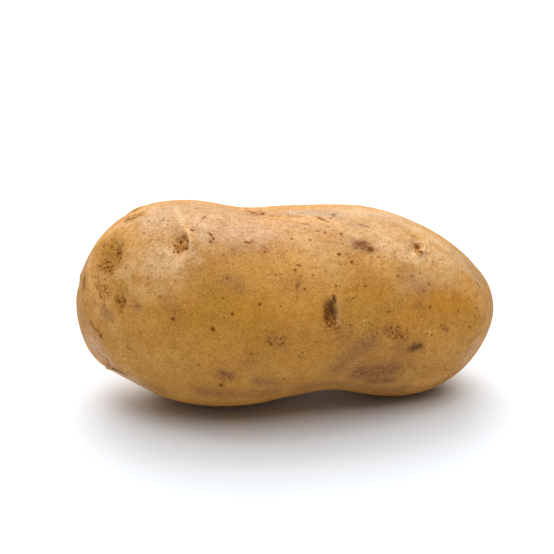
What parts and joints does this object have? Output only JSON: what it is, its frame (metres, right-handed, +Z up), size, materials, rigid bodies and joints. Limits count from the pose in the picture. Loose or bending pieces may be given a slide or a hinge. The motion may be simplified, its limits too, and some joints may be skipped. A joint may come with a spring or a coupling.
{
  "type": "potato",
  "caption": "Raw long oval potato with two soft lobes, a shallow waist, sunken eyes under crescent brows and freckled yellow-brown skin, lying on its side.",
  "frame": {"origin": "on the table, below the middle of the potato's bounding box, with the potato lying on its flatter side", "axes": "+X along the tuber from the rose end, where the eyes crowd together, to the stem end; +Z up; the front in the picture faces -Y"},
  "size_m": [0.1202, 0.0664, 0.0585],
  "materials": {
    "potato_skin": "matte"
  },
  "bodies": {
    "root": {"potato": "potato_skin"}
  },
  "joints": []
}
